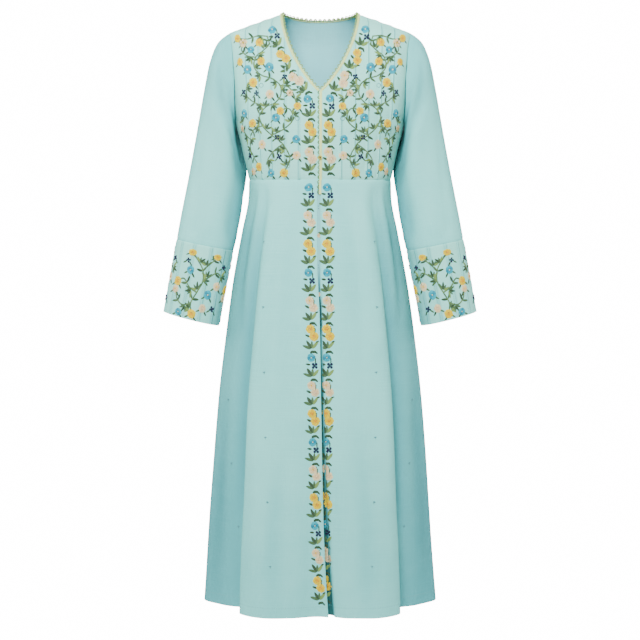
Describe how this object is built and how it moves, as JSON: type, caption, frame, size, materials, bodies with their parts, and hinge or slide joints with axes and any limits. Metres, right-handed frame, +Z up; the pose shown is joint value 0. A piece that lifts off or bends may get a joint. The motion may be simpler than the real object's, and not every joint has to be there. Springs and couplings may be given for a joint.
{
  "type": "long-sleeved embroidered kurta tunic",
  "caption": "Long V-necked kurta tunic with a pintucked bodice, pintucked cuffs, picot edging and an A-line skirt open down the centre front.",
  "frame": {"origin": "midway between the two neck points, where the shoulder seams meet the neckline", "axes": "+Z up, the garment's front faces -Y, the wearer's left is +X"},
  "size_m": [0.6376, 0.3055, 1.2073],
  "materials": {
    "aqua_cloth": "matt plain-woven pale aqua cloth",
    "picot_edging": "matt yellow-green crochet cotton"
  },
  "bodies": {
    "root": {"bodice_front_left": "aqua_cloth", "bodice_front_right": "aqua_cloth", "bodice_back": "aqua_cloth", "sleeve_left": "aqua_cloth", "sleeve_right": "aqua_cloth", "cuff_left": "aqua_cloth", "cuff_right": "aqua_cloth", "skirt_front_left": "aqua_cloth", "skirt_front_right": "aqua_cloth", "skirt_back": "aqua_cloth", "slit_underlap": "aqua_cloth", "neck_edging": "picot_edging", "front_edging": "picot_edging"}
  },
  "joints": []
}
